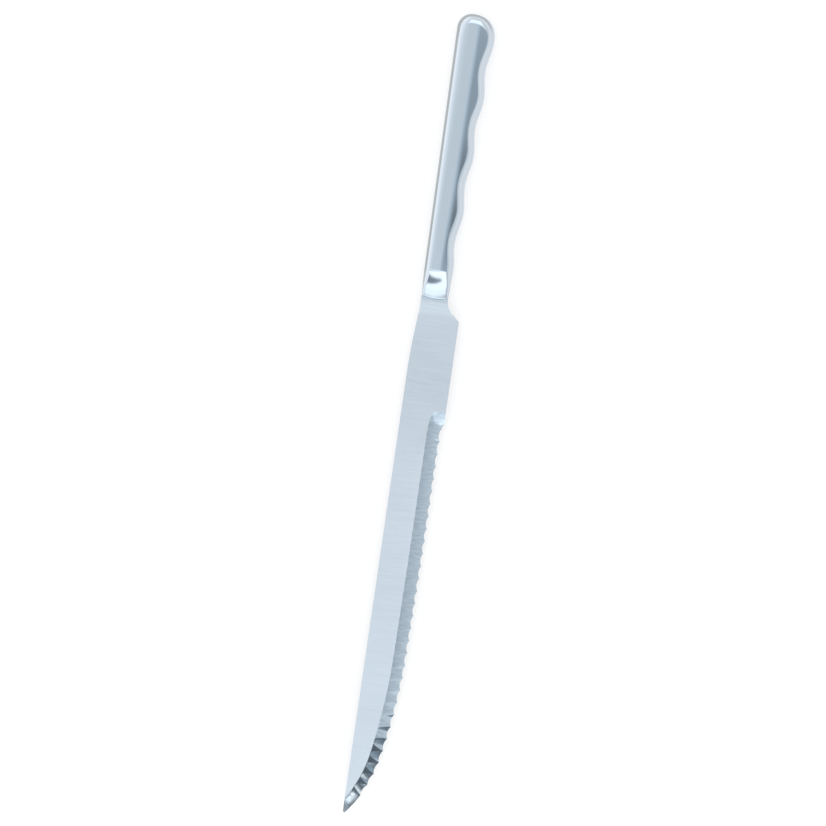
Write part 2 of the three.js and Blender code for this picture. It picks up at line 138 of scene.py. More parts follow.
class BladeSizes(bpy.types.PropertyGroup):
    """Sizes of the blade, with distances along it counted from the mouth."""

    stock: length("Stock", "Thickness of the root and tang", 2.2 * MM)
    thickness: length("Thickness", "Thickness of the ground blade", 1.8 * MM)
    tang_length: length("Tang length", "How far the tang reaches into the handle", 52 * MM)
    tang_half_width: length("Tang half width", "Half the width of the tang", 3.74 * MM)
    notch_radius: length("Notch radius", "Radius of the notches that the cement keys into", 1.6 * MM)
    notch_from_end: length("Notch from end", "From the end of the tang to its first notches", 9 * MM)
    notch_spacing: length("Notch spacing", "From notch to notch", 12 * MM)
    notch_pairs: count("Notch pairs", "How many notches each side has", 3)
    root_flat: length("Root flat", "Run of the full stock past the mouth", 2.6 * MM)
    root_ramp: length("Root ramp", "Run of the ramp from the stock to the ground face", 5.5 * MM)
    spine_offset: length("Spine offset", "From the tang's axis to the spine", 7.42 * MM)
    spine_flare_radius: length("Spine flare", "Radius of the spine where it leaves the root", 300 * MM)
    spine_round: length("Spine round", "How far the sharp edges of the blank are broken", 0.3 * MM)
    heel_offset: length("Heel offset", "From the tang's axis to the heel", 12.08 * MM)
    shoulder_radius: length("Shoulder radius", "Radius from the root to the heel", 8 * MM)
    shoulder_angle: FloatProperty(
        name="Shoulder angle",
        description="Slope of the shoulder at the heel",
        default=math.radians(50),
        subtype="ANGLE",
    )
    shoulder_from_mouth: length("Shoulder from mouth", "Where the shoulder starts", 0.8 * MM)
    grind_from_mouth: length("Grind from mouth", "Where the grinding wheel starts to cut", 49.5 * MM)
    edge_step: length("Edge step", "How far the ground edge lies inside the heel", 0.78 * MM)
    belly_from_tip: length("Belly from tip", "Where the edge starts to curve", 140 * MM)
    belly_radius: length("Belly radius", "Radius of the belly", 3500 * MM)
    sweep_from_tip: length("Sweep from tip", "Where the edge starts to sweep up", 71 * MM)
    sweep_radius: length("Sweep radius", "Radius of the upsweep", 256 * MM)
    point_from_tip: length("Point from tip", "Where the last turn to the tip starts", 26 * MM)
    tip_round: length("Tip round", "Radius of the nose between the spine and the edge", 0.7 * MM)
    bevel_width_at_heel: length("Bevel at heel", "Width of the bevel in plan, where it starts", 6.15 * MM)
    bevel_width_at_tip: length("Bevel at tip", "Width of the bevel in plan, where it ends", 4.4 * MM)
    bevel_taper_power: power("Bevel taper", "1 narrows the bevel evenly and more narrows it later", 3)
    plunge_run: length("Plunge run", "Run in which the wheel reaches its depth", 8.5 * MM)
    grind_run: length("Grind run", "Run in which the grind line reaches its height", 13 * MM)
    grind_squareness: power("Grind squareness", "2 starts the grind line as an ellipse, more is squarer", 3.5)
    hollow: length("Hollow", "How far the bevel is hollowed by the wheel", 0.05 * MM)
    edge_land: length("Edge land", "Thickness that is left at the cutting edge", 0.02 * MM)
    flute_pitch: length("Flute pitch", "From tooth to tooth", 5.53 * MM)
    flute_bite: length("Flute bite", "How far a flute bites into the edge", 0.82 * MM)
    flute_depth_at_grind_line: length("Flute depth above", "Depth of a flute at the grind line", 0.03 * MM)
    flutes_from_grind: length("Flutes from grind", "From the start of the grind to the first tooth", 7.9 * MM)
    plain_tip: length("Plain tip", "Length of edge without teeth at the tip", 8 * MM)


class Finishes(bpy.types.PropertyGroup):
    """Colours of the finishes and of the stage."""

    polished: colour("Polished steel", "Mirror-buffed shells", "#C9D0D7")
    polished_haze: colour("Buffing haze", "Faint streaks that the buffing wheel leaves", "#C0C8D0")
    satin: colour("Satin steel", "Cross-ground faces of the blade", "#C5CACF")
    satin_shade: colour("Satin shade", "Slightly deeper grinding lines", "#B8BEC4")
    # The two wheel-ground tones give the wheel marks, and also a painted shade that darkens the bevel towards
    # its grind line.
    ground: colour("Wheel-ground steel", "Bevel and flutes", "#CEDAE3")
    ground_marks_and_painted_shade: colour("Wheel marks", "Deeper marks of the grinding wheel", "#ABB7C0")
    filler: colour("Silver solder", "Braze and solder", "#B3BFC6")
    filler_dull: colour("Dull solder", "Spots where the solder has dulled", "#9CA9B1")
    cement: colour("Cement", "Filling round the tang", "#B9B2A4")
    cement_grain: colour("Cement grain", "Darker grains in the filling", "#8F887B")
    floor: colour("Floor", "Pale floor", "#FBF8F6")


# Modelling aids


def pick(piece):
    """Selects one piece alone."""
    bpy.ops.object.select_all(action="DESELECT")
    piece.select_set(True)
    bpy.context.view_layer.objects.active = piece


def add_sheet(name, points):
    """Adds a flat grid and presses it to a table of points, rows by columns."""
    rows, columns = points.shape[:2]
    bpy.ops.object.select_all(action="DESELECT")
    bpy.ops.mesh.primitive_grid_add(x_subdivisions=rows - 1, y_subdivisions=columns - 1, size=1)
    piece = bpy.context.object
    piece.name = piece.data.name = name
    flat = np.empty(3 * len(piece.data.vertices))
    piece.data.vertices.foreach_get("co", flat)
    flat = flat.reshape(-1, 3) + 0.5
    row = np.rint(flat[:, 0] * (rows - 1)).astype(int)
    column = np.rint(flat[:, 1] * (columns - 1)).astype(int)
    piece.data.vertices.foreach_set("co", points[row, column].ravel())
    piece.data.update()
    return piece


def among(points):
    """A test that holds for the places in a table of points."""
    places = {tuple(np.float32(point)) for point in points.reshape(-1, 3)}
    return lambda co: tuple(np.float32(co)) in places


def select_points(piece, wanted):
    """Selects in edit mode the points whose place passes the test, and what lies between them."""
    bpy.ops.mesh.select_all(action="DESELECT")
    mesh = bmesh.from_edit_mesh(piece.data)
    for point in mesh.verts:
        if wanted(point.co):
            point.select = True
    mesh.select_flush(True)
    bmesh.update_edit_mesh(piece.data)


def extrude(by=(0, 0, 0)):
    """Extrudes what is selected in edit mode."""
    bpy.ops.mesh.extrude_region_move(TRANSFORM_OT_translate={"value": by})


def move_selected(piece, place):
    """Moves the selected points in edit mode to where place puts them."""
    mesh = bmesh.from_edit_mesh(piece.data)
    for point in mesh.verts:
        if point.select:
            point.co = place(point.co)
    bmesh.update_edit_mesh(piece.data)


def face_outwards(piece):
    """Merges the doubles of a piece and turns its faces outwards."""
    pick(piece)
    bpy.ops.object.mode_set(mode="EDIT")
    bpy.ops.mesh.select_all(action="SELECT")
    bpy.ops.mesh.remove_doubles(threshold=NEAR)
    bpy.ops.mesh.normals_make_consistent(inside=False)
    bpy.ops.object.mode_set(mode="OBJECT")


def apply_modifier(piece, kind, **settings):
    """Adds a modifier with its settings and applies it."""
    bpy.context.view_layer.objects.active = piece
    modifier = piece.modifiers.new(kind.title(), kind)
    for key, value in settings.items():
        setattr(modifier, key, value)
    bpy.ops.object.modifier_apply(modifier=modifier.name)


def mirrored_copy(piece, name):
    """A copy on the other side of the seam, with its own mesh."""
    pick(piece)
    bpy.ops.object.duplicate()
    copy = bpy.context.object
    copy.name = copy.data.name = name
    bpy.ops.transform.resize(value=(1, 1, -1), center_override=(0, 0, 0))
    bpy.ops.object.transform_apply(location=False, rotation=False, scale=True)
    face_outwards(copy)
    return copy


def fit(piece, node, materials, smooth_angle):
    """Smooths a piece, moves it from the mouth to its place and lets it stand for its CAD node."""
    pick(piece)
    bpy.ops.object.shade_smooth_by_angle(angle=math.radians(smooth_angle))
    tang_axis = blade_low.y + bpy.context.scene.knife_blade.spine_offset
    bpy.ops.transform.translate(value=(seam_high.x, tang_axis, seam_middle))
    bpy.ops.object.transform_apply(location=True, rotation=False, scale=False)
    for material in materials:
        piece.data.materials.append(material)
    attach(piece, "root")
    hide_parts(node)


# Handle form

# How finely the shells are drawn, in ribs along the handle and points over each rib.
BUTT_RIBS = 29
GROOVE_RIBS = 26
CREST_RIBS = 4
CREASE_RIBS = 8
NECK_RIBS = 33
SIDE_POINTS = 16
CROWN_POINTS = 24
# At the butt these ribs nearly meet on the crown.
CROWDED_RIBS = slice(1, 5)


def rounded_end(along, run, squareness):
    """How far a rounded end has opened out at a distance from its pole, from 0 to 1."""
    left = np.clip(1 - along / run, 0, 1)
    return (1 - left**squareness) ** (1 / squareness)


def mix(low, high, share):
    """The value that lies at a share of the way from low to high."""
    return low + (high - low) * share


def grip_length(h):
    """From the butt to the neck."""
    return h.full_length - h.neck_length


def last_crest(h):
    """From the butt to the last finger crest."""
    return grip_length(h) - h.last_crest_to_neck


def grip_share(h, along):
    """From 0 at the butt to 1 at the end of the grip."""
    return np.clip(along / grip_length(h), 0, 1)


def neck_share(h, along):
    """From 0 at the end of the grip to 1 at the mouth, with a softened start."""
    past = along - grip_length(h)
    soft = np.clip(past + h.crease_round, 0, 2 * h.crease_round) ** 2 / (4 * h.crease_round)
    return np.clip(np.where(past > h.crease_round, past, soft) / h.neck_length, 0, 1)


def side_line(h, along, at_butt, at_neck):
    """Distance of a side from the tang's axis, without the rounded butt."""
    grip = mix(at_butt, at_neck, grip_share(h, along))
    return mix(grip, h.mouth_width / 2, neck_share(h, along))


def back_line(h, along):
    """The back in plan."""
    pole = h.butt_back_round - h.back_at_butt
    line = -side_line(h, along, h.back_at_butt, h.back_at_neck)
    return mix(pole, line, rounded_end(along, h.butt_back_round, 2))


def finger_line(h, along):
    """The finger side in plan, with its grooves."""
    pole = h.butt_back_round - h.back_at_butt
    crest = side_line(h, along, h.crest_at_butt, h.crest_at_neck)
    outline = mix(pole, crest, rounded_end(along, h.butt_round, h.butt_squareness))
    share = np.clip((along - h.butt_round) / (last_crest(h) - h.butt_round), 0, 1)
    return outline - h.groove_depth / 2 * (1 - np.cos(2 * np.pi * h.grooves * share))


def half_height(h, along, across):
    """Height of the crowned face over the seam."""
    neck = neck_share(h, along)
    grip = mix(h.half_height_at_butt, h.half_height_at_neck, grip_share(h, along))
    crest = mix(h.mouth_half_height, grip, (1 - neck) ** h.neck_swoop)
    from_crown = across + mix(h.crown_back_at_butt, h.crown_back_at_neck, grip_share(h, along))
    return crest - (1 - neck) * from_crown**2 / (2 * h.crown_radius) - h.buffed_off


def handle_stations(h):
    """Distances from the butt at which the handle's ribs stand, closer where the form turns."""
    crease = grip_length(h)
    return np.concatenate(
        [
            h.butt_round * (1 - np.cos(np.linspace(0, np.pi / 2, BUTT_RIBS + 1)))[:-1],
            np.linspace(h.butt_round, last_crest(h), GROOVE_RIBS * h.grooves + 1)[:-1],
            np.linspace(last_crest(h), crease - h.crease_round, CREST_RIBS + 1)[:-1],
            np.linspace(crease - h.crease_round, crease + h.crease_round, CREASE_RIBS + 1)[:-1],
            np.linspace(crease + h.crease_round, h.full_length, NECK_RIBS + 1),
        ]
    )


def outline(h, along, line, sign):
    """Points of one side of the plan outline, and their directions into the handle."""
    points = np.stack([along, line(h, along)], axis=1)
    run = np.gradient(points, axis=0)
    run /= np.linalg.norm(run, axis=1)[:, None]
    inward = sign * np.stack([-run[:, 1], run[:, 0]], axis=1)
    inward[0] = (1, 0)
    inward[-1] = (0, sign)
    return points, inward


def shell_points(h):
    """Ribs of the front shell: up the rounded back, over the crown, down the finger side."""
    along = handle_stations(h)
    angle = np.linspace(0, np.pi / 2, SIDE_POINTS - 1)
    sides = []
    for line, sign, grip_round in ((back_line, 1, h.back_edge_round), (finger_line, -1, h.finger_edge_round)):
        edge_round = mix(h.butt_edge_round, grip_round, np.clip(along / h.butt_round, 0, 1))
        edge_round = mix(edge_round, h.mouth_round, neck_share(h, along))
        points, inward = outline(h, along, line, sign)
        side_height = half_height(h, *points.T)
        edge_round = np.minimum(edge_round, side_height - h.seam)[:, None]
        plan = points[:, None, :] + inward[:, None, :] * (edge_round * (1 - np.cos(angle)))[:, :, None]
        height = half_height(h, plan[..., 0], plan[..., 1]) - edge_round * (1 - np.sin(angle))
        rim = np.concatenate([plan[:, :1], np.zeros((len(along), 1, 1))], axis=2)
        sides.append(np.concatenate([rim, np.concatenate([plan, height[..., None]], axis=2)], axis=1))
    rise, fall = sides[0], sides[1][:, ::-1]
    share = np.linspace(0, 1, CROWN_POINTS + 2)[1:-1, None]
    crown = mix(rise[:, -1:], fall[:, :1], share)
    crown[..., 2] = half_height(h, crown[..., 0], crown[..., 1])
    ribs = np.concatenate([rise, crown, fall], axis=1)
    ribs[..., 2] = np.maximum(ribs[..., 2], h.seam / 2)
    # The lip bows forward, and the bow fades over the end of the neck.
    bow = h.lip_bow * np.clip(1 - (2 * ribs[..., 1] / h.mouth_width) ** 2, 0, 1)
    fade = 4 * h.lip_bow
    near_lip = np.clip(1 - (h.full_length - ribs[..., 0]) / fade, 0, 1)
    ribs[..., 0] += bow * near_lip**2 - h.full_length
    return ribs


def seam_points(h):
    """The band between the rims: outer line and inner line, from mouth to mouth round the butt."""
    along = handle_stations(h)
    back, back_in = outline(h, along, back_line, 1)
    finger, finger_in = outline(h, along, finger_line, -1)
    points = np.concatenate([back[::-1], finger[1:]])
    inward = np.concatenate([back_in[::-1], finger_in[1:]])
    # The braze is wiped off just inside the broken rims.
    wiped = 0.4 * h.rim_break
    band = np.stack([points + inward * drawn_in for drawn_in in (wiped, h.wall)], axis=1)
    band[..., 0] -= h.full_length
    return np.concatenate([band, np.full(band.shape[:2] + (1,), -h.seam / 2)], axis=2)


def solder_points(h, b):
    """A hollow fillet from the lip down to the root, across the root."""
    off_lip, off_root = 0.03 * MM, 0.01 * MM
    width_share, rows, columns = 0.94, 33, 7
    across = np.linspace(-width_share, width_share, rows) * h.mouth_width / 2
    lip = h.lip_bow * (1 - (2 * across / h.mouth_width) ** 2)
    turn = np.linspace(0, np.pi / 2, columns)
    # The fillet runs out at its two ends.
    fade = np.sqrt(np.clip(1 - (across / across[-1]) ** 8, 0.02, 1))[:, None]
    x = lip[:, None] + off_lip + h.solder_width * (1 - np.cos(turn))
    z = b.stock / 2 + off_root + fade * h.solder_height * (1 - np.sin(turn))
    return np.stack([x, np.broadcast_to(across[:, None], x.shape), z], axis=2)


# Blade form

# How finely the bevel is drawn, in rows along it and columns down it.
PLUNGE_ROWS = 44
FLUTE_ROWS = 20
PLAIN_ROWS = 49
NOSE_ROWS = 16
BEVEL_COLUMNS = 17
# How finely the blank is drawn, in rows along its shoulder and along its flat.
SHOULDER_ROWS = 14
FLAT_ROWS = 16


def root_height(b, x):
    """Half the thickness of the blank: full stock at the root, then a ramp to the ground face."""
    share = np.clip((x - b.root_flat) / b.root_ramp, 0, 1)
    return mix(b.stock, b.thickness, share) / 2


def spine_line(h, b, x):
    """The spine in plan, which flares out from the root and rounds off at the tip."""
    drop = b.spine_offset - h.mouth_width / 2
    start = b.shoulder_from_mouth + b.root_ramp
    end = start + math.sqrt(2 * drop * b.spine_flare_radius - drop**2)
    before = end - np.clip(x, start, end)
    flare = b.spine_flare_radius - np.sqrt(b.spine_flare_radius**2 - before**2)
    past = np.clip(x - (tip_from_mouth - b.tip_round), 0, b.tip_round)
    return flare + b.tip_round - np.sqrt(b.tip_round**2 - past**2) - b.spine_offset


def heel_x(h, b):
    """Where the shoulder meets the heel."""
    top = h.mouth_width / 2 + b.shoulder_radius * (1 - math.cos(b.shoulder_angle))
    end = b.shoulder_from_mouth + b.shoulder_radius * math.sin(b.shoulder_angle)
    return end + (b.heel_offset - top) / math.tan(b.shoulder_angle)


def shoulder_line(h, b, x):
    """The cutting side of the blank in plan: root, shoulder and heel."""
    past = x - b.shoulder_from_mouth
    if past <= 0:
        return h.mouth_width / 2
    if past <= b.shoulder_radius * math.sin(b.shoulder_angle):
        return h.mouth_width / 2 + b.shoulder_radius - math.sqrt(b.shoulder_radius**2 - past**2)
    return min(b.heel_offset, b.heel_offset - (heel_x(h, b) - x) * math.tan(b.shoulder_angle))


def edge_arcs(b):
    """The line that the tooth points touch, as (start along, start, heading, radius), and its length."""
    at = Vector((b.grind_from_mouth, b.heel_offset - b.edge_step))
    arcs = [(0, at.copy(), 0, math.inf)]
    along, heading = tip_from_mouth - b.belly_from_tip - at.x, 0
    at.x = tip_from_mouth - b.belly_from_tip

    def turn(radius, new_heading):
        nonlocal along, heading
        arcs.append((along, at.copy(), heading, radius))
        at.x += radius * (math.sin(new_heading) - math.sin(heading))
        at.y += radius * (math.cos(new_heading) - math.cos(heading))
        along, heading = along + radius * (new_heading - heading), new_heading

    for radius, from_tip in ((b.belly_radius, b.sweep_from_tip), (b.sweep_radius, b.point_from_tip)):
        turn(radius, math.asin(math.sin(heading) + (tip_from_mouth - from_tip - at.x) / radius))
    # The last arc runs smoothly into the nose, so the same arc less the nose's radius ends at its centre.
    inner = at - b.tip_round * Vector((math.sin(heading), math.cos(heading)))
    to_nose = Vector((tip_from_mouth - b.tip_round, b.tip_round - b.spine_offset)) - inner
    half = math.atan2(-to_nose.y, to_nose.x) - heading
    turn(to_nose.length / (2 * math.sin(half)) + b.tip_round, heading + 2 * half)
    arcs.append((along, at.copy(), heading, math.inf))
    return arcs, along


def edge_places(b, along):
    """Points on the edge line and its headings, at distances along it."""
    points, headings = np.zeros((len(along), 2)), np.zeros(len(along))
    for start, at, heading, radius in edge_arcs(b)[0]:
        on = along >= start
        past = along[on] - start
        turned = heading + past / radius
        headings[on] = turned
        if math.isinf(radius):
            points[on, 0] = at.x + past * math.cos(heading)
            points[on, 1] = at.y - past * math.sin(heading)
        else:
            points[on, 0] = at.x + radius * (np.sin(turned) - math.sin(heading))
            points[on, 1] = at.y + radius * (np.cos(turned) - math.cos(heading))
    return points, headings


def first_true(test, low, high):
    """Between low and high, the least values from which on the test holds."""
    for _ in range(40):
        middle = (low + high) / 2
        holds = test(middle)
        low, high = np.where(holds, low, middle), np.where(holds, middle, high)
    return high


def bevel_points(h, b):
    """The ground bevel, rows along the edge by columns from the grind line to the edge."""
    whole = edge_arcs(b)[1]
    flutes = math.floor((whole - b.flutes_from_grind - b.plain_tip) / b.flute_pitch)
    fluted = b.flutes_from_grind + flutes * b.flute_pitch
    # The rows go almost round to the pole of the nose.
    nose_turn = 0.48 * np.pi
    along = np.concatenate(
        [
            b.flutes_from_grind * np.linspace(0, 1, PLUNGE_ROWS + 1)[:-1] ** 2,
            np.linspace(b.flutes_from_grind, fluted, FLUTE_ROWS * flutes + 1)[:-1],
            np.linspace(fluted, whole, PLAIN_ROWS + 1)[:-1],
            whole + b.tip_round * np.sin(np.linspace(0, nose_turn, NOSE_ROWS)),
        ]
    )
    points, headings = edge_places(b, along)
    half = b.thickness / 2
    # The wheel comes down from just over the face. Its rim leaves a run-out that is steepest at the start.
    over_face = 0.3 * MM
    plunged = 1 - np.clip(1 - along / b.plunge_run, 0, 1) ** 2
    foot = half + over_face - (b.thickness + over_face) * plunged
    taper = np.minimum(along / whole, 1) ** b.bevel_taper_power
    width = mix(b.bevel_width_at_heel, b.bevel_width_at_tip, taper)
    least_share = 0.05
    width *= np.maximum(least_share, rounded_end(along, b.grind_run, b.grind_squareness))
    # A flute is part of a cylinder that lies down the bevel and is deepest at the edge.
    from_middle = (along - b.flutes_from_grind) % b.flute_pitch - b.flute_pitch / 2
    in_flutes = (along >= b.flutes_from_grind) & (along <= fluted)
    flute_depth = b.flute_bite * (half - foot) / width
    rise = np.where(in_flutes, 4 * flute_depth * (from_middle / b.flute_pitch) ** 2, 1)
    past_grind_line = np.maximum(0, b.flute_depth_at_grind_line - rise) * width / b.thickness

    def place(drawn_in):
        return points[:, 0] - drawn_in * np.sin(headings), points[:, 1] - drawn_in * np.cos(headings)

    def past_spine(drawn_in):
        x, y = place(drawn_in)
        return y < spine_line(h, b, x)

    # Past the end of the edge the round nose bounds the bevel on both sides.
    past_edge = np.maximum(along - whole, 0)
    nose = b.tip_round - np.sqrt(b.tip_round**2 - past_edge**2)
    to_spine = first_true(past_spine, nose + 0.01 * MM, 2 * (points[:, 1] + b.spine_offset))
    top = np.minimum(width + past_grind_line, to_spine)

    def height(drawn_in):
        share = np.clip(drawn_in / width, 0, 1)
        plane = foot + (half - foot) * drawn_in / width
        hollow = plunged * b.hollow * 4 * share * (1 - share)
        deep = mix(flute_depth, b.flute_depth_at_grind_line, share)
        return np.minimum(half, plane - hollow - np.maximum(0, deep - rise))

    def above_land(drawn_in):
        return height(drawn_in) > b.edge_land - half

    # The cutting edge is where the ground surface comes down to the land.
    blank_side = np.full(along.shape, -b.edge_step)
    edge = np.where(above_land(blank_side), blank_side, first_true(above_land, blank_side, top))
    edge = np.where(past_edge > 0, np.maximum(edge, nose), edge)
    table = []
    for share in np.linspace(0, 1, BEVEL_COLUMNS):
        drawn_in = mix(top, edge, share)
        table.append(np.stack([*place(drawn_in), height(drawn_in)], axis=1))
    return np.stack(table, axis=1)


def broken_to(b):
    """How far from the mouth the edges of the blank are broken."""
    return tip_from_mouth - 2 * b.bevel_width_at_heel


# Blade modelling


def place_row(blade, h, b, x, inner=None):
    """Moves the selected row of points to a distance from the mouth, with its inner points drawn in."""
    mesh = bmesh.from_edit_mesh(blade.data)
    row = sorted((point for point in mesh.verts if point.select), key=lambda point: point.co.y)
    low, high = spine_line(h, b, x), shoulder_line(h, b, x)
    last = len(row) - 1
    for i, point in enumerate(row):
        y = mix(low, high, i / last)
        if inner and 0 < i < last:
            y = mix(-inner, inner, (i - 1) / (last - 2))
        point.co = (x, y, root_height(b, x))
    bmesh.update_edit_mesh(blade.data)


def draw_out_blank(blade, bevel, h, b):
    """Draws the flat face, the blank, the tang and the thickness out of the bevel."""
    # The flat face runs from the grind line to the spine.
    select_points(blade, among(bevel[:, 0]))
    extrude()
    move_selected(blade, lambda co: Vector((co.x, spine_line(h, b, co.x), co.z)))

    # The blank runs back from the grind to the root, row by row.
    start, heel = b.grind_from_mouth, heel_x(h, b)
    arc = b.shoulder_radius * math.sin(b.shoulder_angle)
    quarter = math.pi / 2
    stations = {heel, b.root_flat, b.root_flat + b.root_ramp, b.shoulder_from_mouth}
    for i in range(1, SHOULDER_ROWS + 1):
        stations.add(b.shoulder_from_mouth + arc * math.sin(i / SHOULDER_ROWS * quarter))
    for i in range(1, FLAT_ROWS):
        stations.add(start - i * (start - heel) / FLAT_ROWS)
    select_points(blade, lambda co: abs(co.x - start) < NEAR)
    for x in sorted(stations, reverse=True):
        extrude()
        place_row(blade, h, b, x)
    extrude()
    place_row(blade, h, b, 0, b.tang_half_width)

    # The tang is narrower than the root.
    select_points(blade, lambda co: abs(co.x) < NEAR and abs(co.y) < b.tang_half_width + NEAR)
    extrude((-b.tang_length, 0, 0))

    # The thickness goes down to the flat back of the blade.
    bpy.ops.mesh.select_all(action="SELECT")
    extrude()
    move_selected(blade, lambda co: Vector((co.x, co.y, -root_height(b, co.x))))


def break_edges(blade, h, b):
    """Breaks the sharp edges of the blank, from the mouth to near the tip."""

    def on_blank(co):
        on_spine = co.y < spine_line(h, b, co.x) + NEAR
        on_shoulder = co.x < b.grind_from_mouth - NEAR and co.y > shoulder_line(h, b, co.x) - NEAR
        return NEAR < co.x < broken_to(b) and (on_spine or on_shoulder)

    bpy.ops.mesh.select_all(action="DESELECT")
    mesh = bmesh.from_edit_mesh(blade.data)
    for edge in mesh.edges:
        level = abs(edge.verts[0].co.z - edge.verts[1].co.z) < b.thickness / 2
        edge.select = level and all(on_blank(point.co) for point in edge.verts)
    bmesh.update_edit_mesh(blade.data)
    bpy.ops.mesh.bevel(offset=b.spine_round, segments=3, clamp_overlap=False)


def cut_notches(blade, b):
    """Cuts the round notches in the sides of the tang, which the cement keys into."""
    for pair in range(b.notch_pairs):
        x = b.notch_from_end + pair * b.notch_spacing - b.tang_length
        for side in (-b.tang_half_width, b.tang_half_width):
            bpy.ops.object.select_all(action="DESELECT")
            bpy.ops.mesh.primitive_cylinder_add(
                vertices=40, radius=b.notch_radius, depth=2 * b.stock, location=(x, side, 0)
            )
            cutter = bpy.context.object
            apply_modifier(blade, "BOOLEAN", object=cutter, operation="DIFFERENCE")
            bpy.data.objects.remove(cutter)


def mark_ground_faces(blade, h, b):
    """Gives the bevel and flutes their own finish, and keeps the grind line crisp."""
    for face in blade.data.polygons:
        x, y, z = face.center
        under_face = face.normal.z > 0.5 and z < b.thickness / 2 - NEAR
        off_spine = y > spine_line(h, b, x) + b.spine_round or x > broken_to(b)
        if under_face and off_spine and x > b.grind_from_mouth:
            face.material_index = 1
    # The plunge starts out nearly level, so the border of the ground faces is marked sharp.
    bpy.ops.object.mode_set(mode="EDIT")
    bpy.ops.mesh.select_mode(type="FACE")
    bpy.ops.mesh.select_all(action="DESELECT")
    mesh = bmesh.from_edit_mesh(blade.data)
    for face in mesh.faces:
        face.select_set(face.material_index == 1)
    bmesh.update_edit_mesh(blade.data)
    bpy.ops.mesh.region_to_loop()
    bpy.ops.mesh.mark_sharp()
    bpy.ops.object.mode_set(mode="OBJECT")


# Finishes

# A noise pattern lies mostly between these values.
NOISE_LOW, NOISE_HIGH = 0.3, 0.7


def new_material(name):
    """A material with an empty node tree."""
    material = bpy.data.materials.new(name)
    material.use_nodes = True
    material.node_tree.nodes.clear()
    return material


def add_node(tree, kind, links=None, inputs=None, **settings):
    """Adds a node with its settings, the values of its inputs and the links into it."""
    node = tree.nodes.new(kind)
    for key, value in settings.items():
        setattr(node, key, value)
    for key, value in (inputs or {}).items():
        node.inputs[key].default_value = value
    for key, source in (links or {}).items():
        tree.links.new(source, node.inputs[key])
    return node


def finish_surface(material, tones, tone_by, roughness, rough_by, bump, metallic=1.0):
    """Ends a material: two tones and a range of roughness that follow their patterns, and its bump."""
    tree = material.node_tree
    tone = add_node(
        tree,
        "ShaderNodeMix",
        {"Factor": tone_by},
        {"A": (*tones[0], 1), "B": (*tones[1], 1)},
        data_type="RGBA",
    )
    rough = add_node(
        tree,
        "ShaderNodeMapRange",
        {"Value": rough_by},
        {"From Min": NOISE_LOW, "From Max": NOISE_HIGH, "To Min": roughness[0], "To Max": roughness[1]},
    )
    shader = add_node(
        tree,
        "ShaderNodeBsdfPrincipled",
        {
            "Base Color": tone.outputs["Result"],
            "Roughness": rough.outputs["Result"],
            "Normal": bump.outputs["Normal"],
        },
        {"Metallic": metallic},
    )
    add_node(tree, "ShaderNodeOutputMaterial", {"Surface": shader.outputs["BSDF"]})
    return material


def polished_steel(finish):
    """Pressed stainless steel, mirror-buffed along the handle.

    It mirrors the studio with slightly soft edges, because the pressed sheet isn't quite even
    and the buffing wheel leaves a faint haze of lengthwise streaks.
    """
    material = new_material("mirror_buffed_stainless_steel")
    tree = material.node_tree
    place = add_node(tree, "ShaderNodeTexCoord").outputs["Object"]
    # Buffing streaks are 0.05 mm wide. They are drawn 0.5 mm wide and 30 mm long, so that they show.
    streak_scale = (1 / (30 * MM), 1 / (0.5 * MM), 1 / (0.5 * MM))
    streak_place = add_node(tree, "ShaderNodeMapping", {"Vector": place}, {"Scale": streak_scale})
    streaks = add_node(
        tree, "ShaderNodeTexNoise", {"Vector": streak_place.outputs["Vector"]}, {"Scale": 1.0, "Detail": 3.0}
    ).outputs["Fac"]
    # The sheet wavers over about 9 mm.
    waver = add_node(
        tree, "ShaderNodeTexNoise", {"Vector": place}, {"Scale": 1 / (9 * MM), "Detail": 1.0}
    ).outputs["Fac"]
    uneven = add_node(tree, "ShaderNodeBump", {"Height": waver}, {"Strength": 1.0, "Distance": 0.012 * MM})
    tones = finish.polished, finish.polished_haze
    return finish_surface(material, tones, streaks, (0.1, 0.15), streaks, uneven)


def satin_steel(finish):
    """Stainless blade steel, ground across the blade and left satin.

    Fine lines run from spine to edge, and the face has broad soft bands where the grinding belt
    pressed more or less, so that it shines evenly and mirrors nothing sharply.
    """
    material = new_material("cross_ground_stainless_steel")
    tree = material.node_tree
    place = add_node(tree, "ShaderNodeTexCoord").outputs["Object"]
    # Belt lines are 0.04 mm wide. They are drawn 0.35 mm wide and 14 mm long, so that they show.
    line_scale = (1 / (0.35 * MM), 1 / (14 * MM), 1 / (2 * MM))
    line_place = add_node(tree, "ShaderNodeMapping", {"Vector": place}, {"Scale": line_scale})
    lines = add_node(
        tree, "ShaderNodeTexNoise", {"Vector": line_place.outputs["Vector"]}, {"Scale": 1.0, "Detail": 4.0}
    ).outputs["Fac"]
    # Belt pressure varies over about 16 mm along the blade.
    band_scale = (1 / (16 * MM), 1 / (40 * MM), 1 / (16 * MM))
    band_place = add_node(tree, "ShaderNodeMapping", {"Vector": place}, {"Scale": band_scale})
    bands = add_node(
        tree, "ShaderNodeTexNoise", {"Vector": band_place.outputs["Vector"]}, {"Scale": 1.0, "Detail": 2.0}
    ).outputs["Fac"]
    grain = add_node(tree, "ShaderNodeBump", {"Height": lines}, {"Strength": 0.5, "Distance": 0.006 * MM})
    belt = add_node(
        tree,
        "ShaderNodeBump",
        {"Height": bands, "Normal": grain.outputs["Normal"]},
        {"Strength": 1.0, "Distance": 0.03 * MM},
    )
    tones = finish.satin, finish.satin_shade
    return finish_surface(material, tones, lines, (0.2, 0.265), bands, belt)


